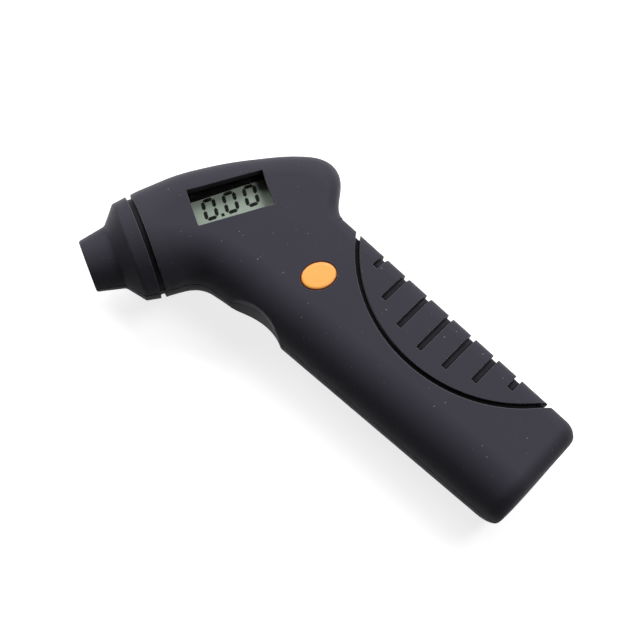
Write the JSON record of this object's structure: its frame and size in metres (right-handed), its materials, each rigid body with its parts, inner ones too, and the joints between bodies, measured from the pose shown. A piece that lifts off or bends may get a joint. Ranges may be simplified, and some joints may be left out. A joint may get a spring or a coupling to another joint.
{
  "type": "digital tyre pressure gauge",
  "caption": "Hand-held pressure gauge with a pistol grip, a round nose with a valve socket, a small display, an oval push button and a coin cell cover in the back.",
  "frame": {"origin": "centre of the whole gauge's footprint, on the flat back that it lies on", "axes": "+X along the handle from the head to the butt, +Y towards the edge with the grip panel, +Z out of the display"},
  "size_m": [0.1474, 0.0796, 0.0325],
  "materials": {
    "soft_black": "fine matte soft-touch grain",
    "grip_black": "fine matte soft-touch grain",
    "clear": "clear moulded acrylic",
    "holder_black": "plain black moulding",
    "display_glass": "clear display glass",
    "segments": "dark liquid crystal figures",
    "reflector": "grey-green reflective film",
    "zebra": "striped elastomer",
    "board_green": "green solder mask",
    "resin": "black resin drop",
    "component": "small ceramic parts and a can",
    "orange": "satin orange moulding",
    "silicone": "translucent silicone",
    "cell_steel": "pressed nickel-plated can",
    "spring_steel": "nickel-plated spring strip",
    "brass": "turned brass",
    "black_rubber": "moulded nitrile rubber",
    "pin_brass": "turned brass",
    "sensor_steel": "pressed steel can",
    "nut_aluminium": "turned aluminium",
    "lead_wire": "tinned wire",
    "screw_steel": "zinc-plated steel"
  },
  "bodies": {
    "casing": {"front_housing": "soft_black", "rear_housing": "soft_black", "grip_insert": "grip_black", "display_window": "clear", "lcd_frame": "holder_black", "lcd_front_glass": "display_glass", "lcd_segments": "segments", "lcd_rear_glass": "display_glass", "lcd_reflector": "reflector", "zebra_strip": "zebra", "circuit_board": "board_green", "chip_blob": "resin", "board_parts": "component", "button_dome": "silicone", "coin_cell": "cell_steel", "negative_contact": "spring_steel", "positive_contact": "spring_steel", "chuck_body": "brass", "chuck_seal": "black_rubber", "depressor_pin": "pin_brass", "sensor_o_ring": "black_rubber", "pressure_sensor": "sensor_steel", "sensor_clamp": "nut_aluminium", "sensor_leads": "lead_wire", "housing_screws": "screw_steel", "board_screws": "screw_steel"},
    "button": {"button_cap": "orange"},
    "cover": {"battery_cover": "soft_black"}
  },
  "joints": [
    {"name": "button_press", "type": "slide", "parent": "casing", "child": "button", "axis": [0, 0, -1], "range_m": [0, 0.0008], "stiffness_N_per_m": 2500, "springref_m": -0.0004, "deforming": ["button_dome"]},
    {"name": "battery_cover_turn", "type": "hinge", "parent": "casing", "child": "cover", "pos_m": [-0.02671, 0.01142, 0], "axis": [0, 0, 1], "range_deg": [0, 40]}
  ]
}
